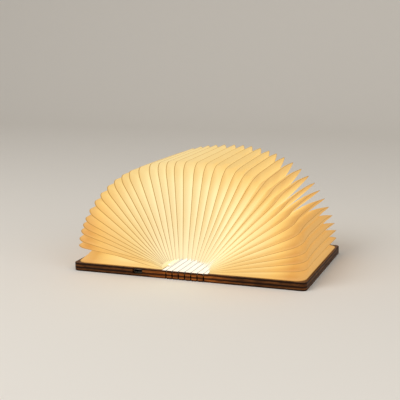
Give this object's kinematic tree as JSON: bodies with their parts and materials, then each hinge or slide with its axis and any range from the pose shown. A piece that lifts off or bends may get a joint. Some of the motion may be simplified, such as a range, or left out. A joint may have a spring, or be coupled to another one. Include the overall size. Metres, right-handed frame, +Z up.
{
  "type": "folding book lamp",
  "caption": "Folding book lamp: two wooden covers joined by a kerfed spine, carrying a fan of glued paper pages that opens to a half circle and is lit from inside.",
  "frame": {"origin": "on the table under the middle of the spine, at the centre of the open lamp's footprint", "axes": "+X from the left cover to the right cover across the open lamp, +Y along the spine from the charging port's edge to the back, +Z up"},
  "size_m": [0.1932, 0.122, 0.0907],
  "materials": {
    "walnut_board": "oiled laminated walnut",
    "page_paper": "matt coated paper, lit from inside",
    "circuit_board": "white solder mask",
    "led_phosphor": "yellow phosphor",
    "milky_diffuser": "milky satin",
    "lead_insulation": "soft satin",
    "battery_foil": "satin foil pouch",
    "black_plastic": "matt moulded",
    "socket_steel": "nickel-plated",
    "magnet_nickel": "nickel-plated"
  },
  "bodies": {
    "left_cover": {"left_cover": "walnut_board", "left_cover_lid": "walnut_board", "left_end_sheet": "page_paper", "led_board": "circuit_board", "led_chips": "led_phosphor", "light_diffuser": "milky_diffuser", "light_leads": "lead_insulation", "battery_cell": "battery_foil", "battery_leads": "lead_insulation", "control_board": "circuit_board", "hall_sensor": "black_plastic", "usb_socket": "socket_steel", "usb_tongue": "black_plastic", "left_cover_magnets": "magnet_nickel"},
    "spine_slat_1": {"spine_slat_1": "walnut_board"},
    "spine_slat_2": {"spine_slat_2": "walnut_board"},
    "spine_slat_3": {"spine_slat_3": "walnut_board"},
    "spine_slat_4": {"spine_slat_4": "walnut_board"},
    "spine_slat_5": {"spine_slat_5": "walnut_board"},
    "spine_slat_6": {"spine_slat_6": "walnut_board"},
    "right_cover": {"right_cover": "walnut_board", "right_end_sheet": "page_paper", "right_cover_magnets": "magnet_nickel", "switch_magnet": "magnet_nickel"},
    "page_01": {"page_01": "page_paper"},
    "page_02": {"page_02": "page_paper"},
    "page_03": {"page_03": "page_paper"},
    "page_04": {"page_04": "page_paper"},
    "page_05": {"page_05": "page_paper"},
    "page_06": {"page_06": "page_paper"},
    "page_07": {"page_07": "page_paper"},
    "page_08": {"page_08": "page_paper"},
    "page_09": {"page_09": "page_paper"},
    "page_10": {"page_10": "page_paper"},
    "page_11": {"page_11": "page_paper"},
    "page_12": {"page_12": "page_paper"},
    "page_13": {"page_13": "page_paper"},
    "page_14": {"page_14": "page_paper"},
    "page_15": {"page_15": "page_paper"},
    "page_16": {"page_16": "page_paper"},
    "page_17": {"page_17": "page_paper"},
    "page_18": {"page_18": "page_paper"},
    "page_19": {"page_19": "page_paper"},
    "page_20": {"page_20": "page_paper"},
    "page_21": {"page_21": "page_paper"},
    "page_22": {"page_22": "page_paper"},
    "page_23": {"page_23": "page_paper"},
    "page_24": {"page_24": "page_paper"},
    "page_25": {"page_25": "page_paper"},
    "page_26": {"page_26": "page_paper"},
    "page_27": {"page_27": "page_paper"},
    "page_28": {"page_28": "page_paper"},
    "page_29": {"page_29": "page_paper"},
    "page_30": {"page_30": "page_paper"},
    "page_31": {"page_31": "page_paper"},
    "page_32": {"page_32": "page_paper"},
    "page_33": {"page_33": "page_paper"},
    "page_34": {"page_34": "page_paper"},
    "page_35": {"page_35": "page_paper"},
    "page_36": {"page_36": "page_paper"}
  },
  "joints": [
    {"name": "kerf_1", "type": "hinge", "parent": "left_cover", "child": "spine_slat_1", "pos_m": [-0.0156, 0, 0.0048], "axis": [0, -1, 0], "range_deg": [0, 25.71], "deforming": ["left_end_sheet"]},
    {"name": "kerf_2", "type": "hinge", "parent": "spine_slat_1", "child": "spine_slat_2", "pos_m": [-0.0104, 0, 0.0048], "axis": [0, -1, 0], "range_deg": [0, 25.71]},
    {"name": "kerf_3", "type": "hinge", "parent": "spine_slat_2", "child": "spine_slat_3", "pos_m": [-0.0052, 0, 0.0048], "axis": [0, -1, 0], "range_deg": [0, 25.71]},
    {"name": "kerf_4", "type": "hinge", "parent": "spine_slat_3", "child": "spine_slat_4", "pos_m": [0, 0, 0.0048], "axis": [0, -1, 0], "range_deg": [0, 25.71]},
    {"name": "kerf_5", "type": "hinge", "parent": "spine_slat_4", "child": "spine_slat_5", "pos_m": [0.0052, 0, 0.0048], "axis": [0, -1, 0], "range_deg": [0, 25.71]},
    {"name": "kerf_6", "type": "hinge", "parent": "spine_slat_5", "child": "spine_slat_6", "pos_m": [0.0104, 0, 0.0048], "axis": [0, -1, 0], "range_deg": [0, 25.71]},
    {"name": "kerf_7", "type": "hinge", "parent": "spine_slat_6", "child": "right_cover", "pos_m": [0.0156, 0, 0.0048], "axis": [0, -1, 0], "range_deg": [0, 25.71], "deforming": ["right_end_sheet"]},
    {"name": "page_01_turn", "type": "hinge", "parent": "left_cover", "child": "page_01", "pos_m": [-0.01848, 0, 0.00757], "axis": [0, -1, 0], "range_deg": [0, 6.25], "deforming": ["page_01"]},
    {"name": "page_02_turn", "type": "hinge", "parent": "left_cover", "child": "page_02", "pos_m": [-0.01912, 0, 0.00797], "axis": [0, -1, 0], "range_deg": [0, 11.98], "deforming": ["page_02"]},
    {"name": "page_03_turn", "type": "hinge", "parent": "left_cover", "child": "page_03", "pos_m": [-0.01914, 0, 0.00832], "axis": [0, -1, 0], "range_deg": [0, 17.11], "deforming": ["page_03"]},
    {"name": "page_04_turn", "type": "hinge", "parent": "left_cover", "child": "page_04", "pos_m": [-0.01902, 0, 0.00862], "axis": [0, -1, 0], "range_deg": [0, 22.06], "deforming": ["page_04"]},
    {"name": "page_05_turn", "type": "hinge", "parent": "left_cover", "child": "page_05", "pos_m": [-0.01885, 0, 0.00887], "axis": [0, -1, 0], "range_deg": [0, 27.34], "deforming": ["page_05"]},
    {"name": "page_06_turn", "type": "hinge", "parent": "left_cover", "child": "page_06", "pos_m": [-0.01864, 0, 0.00909], "axis": [0, -1, 0], "range_deg": [0, 33.16], "deforming": ["page_06"]},
    {"name": "page_07_turn", "type": "hinge", "parent": "left_cover", "child": "page_07", "pos_m": [-0.0184, 0, 0.00928], "axis": [0, -1, 0], "range_deg": [0, 39.17], "deforming": ["page_07"]},
    {"name": "page_08_turn", "type": "hinge", "parent": "left_cover", "child": "page_08", "pos_m": [-0.01811, 0, 0.00941], "axis": [0, -1, 0], "range_deg": [0, 44.81], "deforming": ["page_08"]},
    {"name": "page_09_turn", "type": "hinge", "parent": "left_cover", "child": "page_09", "pos_m": [-0.01775, 0, 0.00946], "axis": [0, -1, 0], "range_deg": [0, 49.74], "deforming": ["page_09"]},
    {"name": "page_10_turn", "type": "hinge", "parent": "left_cover", "child": "page_10", "pos_m": [-0.01733, 0, 0.00943], "axis": [0, -1, 0], "range_deg": [0, 54.17], "deforming": ["page_10"]},
    {"name": "page_11_turn", "type": "hinge", "parent": "left_cover", "child": "page_11", "pos_m": [-0.01685, 0, 0.00934], "axis": [0, -1, 0], "range_deg": [0, 58.63], "deforming": ["page_11"]},
    {"name": "page_12_turn", "type": "hinge", "parent": "left_cover", "child": "page_12", "pos_m": [-0.01632, 0, 0.00923], "axis": [0, -1, 0], "range_deg": [0, 63.55], "deforming": ["page_12"]},
    {"name": "page_13_turn", "type": "hinge", "parent": "left_cover", "child": "page_13", "pos_m": [-0.01571, 0, 0.00912], "axis": [0, -1, 0], "range_deg": [0, 68.86], "deforming": ["page_13"]},
    {"name": "page_14_turn", "type": "hinge", "parent": "left_cover", "child": "page_14", "pos_m": [-0.01502, 0, 0.00896], "axis": [0, -1, 0], "range_deg": [0, 74.07], "deforming": ["page_14"]},
    {"name": "page_15_turn", "type": "hinge", "parent": "left_cover", "child": "page_15", "pos_m": [-0.01423, 0, 0.0087], "axis": [0, -1, 0], "range_deg": [0, 78.68], "deforming": ["page_15"]},
    {"name": "page_16_turn", "type": "hinge", "parent": "left_cover", "child": "page_16", "pos_m": [-0.01332, 0, 0.00831], "axis": [0, -1, 0], "range_deg": [0, 82.64], "deforming": ["page_16"]},
    {"name": "page_17_turn", "type": "hinge", "parent": "left_cover", "child": "page_17", "pos_m": [-0.01228, 0, 0.00779], "axis": [0, -1, 0], "range_deg": [0, 86.38], "deforming": ["page_17"]},
    {"name": "page_18_turn", "type": "hinge", "parent": "left_cover", "child": "page_18", "pos_m": [-0.011, 0, 0.00716], "axis": [0, -1, 0], "range_deg": [0, 90.47], "deforming": ["page_18"]},
    {"name": "page_19_turn", "type": "hinge", "parent": "left_cover", "child": "page_19", "pos_m": [-0.00907, 0, 0.00611], "axis": [0, -1, 0], "range_deg": [0, 95.11], "deforming": ["page_19"]},
    {"name": "page_20_turn", "type": "hinge", "parent": "left_cover", "child": "page_20", "pos_m": [-0.00781, 0, 0.00589], "axis": [0, -1, 0], "range_deg": [0, 100], "deforming": ["page_20"]},
    {"name": "page_21_turn", "type": "hinge", "parent": "left_cover", "child": "page_21", "pos_m": [-0.00682, 0, 0.00592], "axis": [0, -1, 0], "range_deg": [0, 104.61], "deforming": ["page_21"]},
    {"name": "page_22_turn", "type": "hinge", "parent": "left_cover", "child": "page_22", "pos_m": [-0.006, 0, 0.00601], "axis": [0, -1, 0], "range_deg": [0, 108.62], "deforming": ["page_22"]},
    {"name": "page_23_turn", "type": "hinge", "parent": "left_cover", "child": "page_23", "pos_m": [-0.0053, 0, 0.00615], "axis": [0, -1, 0], "range_deg": [0, 112.26], "deforming": ["page_23"]},
    {"name": "page_24_turn", "type": "hinge", "parent": "left_cover", "child": "page_24", "pos_m": [-0.00471, 0, 0.00643], "axis": [0, -1, 0], "range_deg": [0, 116.09], "deforming": ["page_24"]},
    {"name": "page_25_turn", "type": "hinge", "parent": "left_cover", "child": "page_25", "pos_m": [-0.00417, 0, 0.00691], "axis": [0, -1, 0], "range_deg": [0, 120.54], "deforming": ["page_25"]},
    {"name": "page_26_turn", "type": "hinge", "parent": "left_cover", "child": "page_26", "pos_m": [-0.00369, 0, 0.00756], "axis": [0, -1, 0], "range_deg": [0, 125.57], "deforming": ["page_26"]},
    {"name": "page_27_turn", "type": "hinge", "parent": "left_cover", "child": "page_27", "pos_m": [-0.00326, 0, 0.00827], "axis": [0, -1, 0], "range_deg": [0, 130.67], "deforming": ["page_27"]},
    {"name": "page_28_turn", "type": "hinge", "parent": "left_cover", "child": "page_28", "pos_m": [-0.00289, 0, 0.00894], "axis": [0, -1, 0], "range_deg": [0, 135.37], "deforming": ["page_28"]},
    {"name": "page_29_turn", "type": "hinge", "parent": "left_cover", "child": "page_29", "pos_m": [-0.00258, 0, 0.00956], "axis": [0, -1, 0], "range_deg": [0, 139.6], "deforming": ["page_29"]},
    {"name": "page_30_turn", "type": "hinge", "parent": "left_cover", "child": "page_30", "pos_m": [-0.0023, 0, 0.01019], "axis": [0, -1, 0], "range_deg": [0, 143.78], "deforming": ["page_30"]},
    {"name": "page_31_turn", "type": "hinge", "parent": "left_cover", "child": "page_31", "pos_m": [-0.00202, 0, 0.01093], "axis": [0, -1, 0], "range_deg": [0, 148.45], "deforming": ["page_31"]},
    {"name": "page_32_turn", "type": "hinge", "parent": "left_cover", "child": "page_32", "pos_m": [-0.00171, 0, 0.01181], "axis": [0, -1, 0], "range_deg": [0, 153.81], "deforming": ["page_32"]},
    {"name": "page_33_turn", "type": "hinge", "parent": "left_cover", "child": "page_33", "pos_m": [-0.00137, 0, 0.01276], "axis": [0, -1, 0], "range_deg": [0, 159.53], "deforming": ["page_33"]},
    {"name": "page_34_turn", "type": "hinge", "parent": "left_cover", "child": "page_34", "pos_m": [-0.00104, 0, 0.01369], "axis": [0, -1, 0], "range_deg": [0, 165.04], "deforming": ["page_34"]},
    {"name": "page_35_turn", "type": "hinge", "parent": "left_cover", "child": "page_35", "pos_m": [-0.00072, 0, 0.01453], "axis": [0, -1, 0], "range_deg": [0, 170], "deforming": ["page_35"]},
    {"name": "page_36_turn", "type": "hinge", "parent": "left_cover", "child": "page_36", "pos_m": [-0.00041, 0, 0.01533], "axis": [0, -1, 0], "range_deg": [0, 174.59], "deforming": ["page_36"]}
  ],
  "couplings": [
    {"joint": "kerf_2", "follows": "kerf_1", "ratio": 1},
    {"joint": "kerf_3", "follows": "kerf_1", "ratio": 1},
    {"joint": "kerf_4", "follows": "kerf_1", "ratio": 1},
    {"joint": "kerf_5", "follows": "kerf_1", "ratio": 1},
    {"joint": "kerf_6", "follows": "kerf_1", "ratio": 1},
    {"joint": "kerf_7", "follows": "kerf_1", "ratio": 1},
    {"joint": "page_01_turn", "follows": "kerf_1", "ratio": 0.24286},
    {"joint": "page_02_turn", "follows": "kerf_1", "ratio": 0.46576},
    {"joint": "page_03_turn", "follows": "kerf_1", "ratio": 0.66546},
    {"joint": "page_04_turn", "follows": "kerf_1", "ratio": 0.85775},
    {"joint": "page_05_turn", "follows": "kerf_1", "ratio": 1.0633},
    {"joint": "page_06_turn", "follows": "kerf_1", "ratio": 1.2894},
    {"joint": "page_07_turn", "follows": "kerf_1", "ratio": 1.5232},
    {"joint": "page_08_turn", "follows": "kerf_1", "ratio": 1.7424},
    {"joint": "page_09_turn", "follows": "kerf_1", "ratio": 1.9343},
    {"joint": "page_10_turn", "follows": "kerf_1", "ratio": 2.1065},
    {"joint": "page_11_turn", "follows": "kerf_1", "ratio": 2.2801},
    {"joint": "page_12_turn", "follows": "kerf_1", "ratio": 2.4714},
    {"joint": "page_13_turn", "follows": "kerf_1", "ratio": 2.6779},
    {"joint": "page_14_turn", "follows": "kerf_1", "ratio": 2.8803},
    {"joint": "page_15_turn", "follows": "kerf_1", "ratio": 3.0597},
    {"joint": "page_16_turn", "follows": "kerf_1", "ratio": 3.2137},
    {"joint": "page_17_turn", "follows": "kerf_1", "ratio": 3.3593},
    {"joint": "page_18_turn", "follows": "kerf_1", "ratio": 3.5181},
    {"joint": "page_19_turn", "follows": "kerf_1", "ratio": 3.6986},
    {"joint": "page_20_turn", "follows": "kerf_1", "ratio": 3.8889},
    {"joint": "page_21_turn", "follows": "kerf_1", "ratio": 4.068},
    {"joint": "page_22_turn", "follows": "kerf_1", "ratio": 4.2242},
    {"joint": "page_23_turn", "follows": "kerf_1", "ratio": 4.3657},
    {"joint": "page_24_turn", "follows": "kerf_1", "ratio": 4.5146},
    {"joint": "page_25_turn", "follows": "kerf_1", "ratio": 4.6878},
    {"joint": "page_26_turn", "follows": "kerf_1", "ratio": 4.8831},
    {"joint": "page_27_turn", "follows": "kerf_1", "ratio": 5.0816},
    {"joint": "page_28_turn", "follows": "kerf_1", "ratio": 5.2643},
    {"joint": "page_29_turn", "follows": "kerf_1", "ratio": 5.4287},
    {"joint": "page_30_turn", "follows": "kerf_1", "ratio": 5.5912},
    {"joint": "page_31_turn", "follows": "kerf_1", "ratio": 5.773},
    {"joint": "page_32_turn", "follows": "kerf_1", "ratio": 5.9814},
    {"joint": "page_33_turn", "follows": "kerf_1", "ratio": 6.2039},
    {"joint": "page_34_turn", "follows": "kerf_1", "ratio": 6.4181},
    {"joint": "page_35_turn", "follows": "kerf_1", "ratio": 6.6109},
    {"joint": "page_36_turn", "follows": "kerf_1", "ratio": 6.7896}
  ]
}
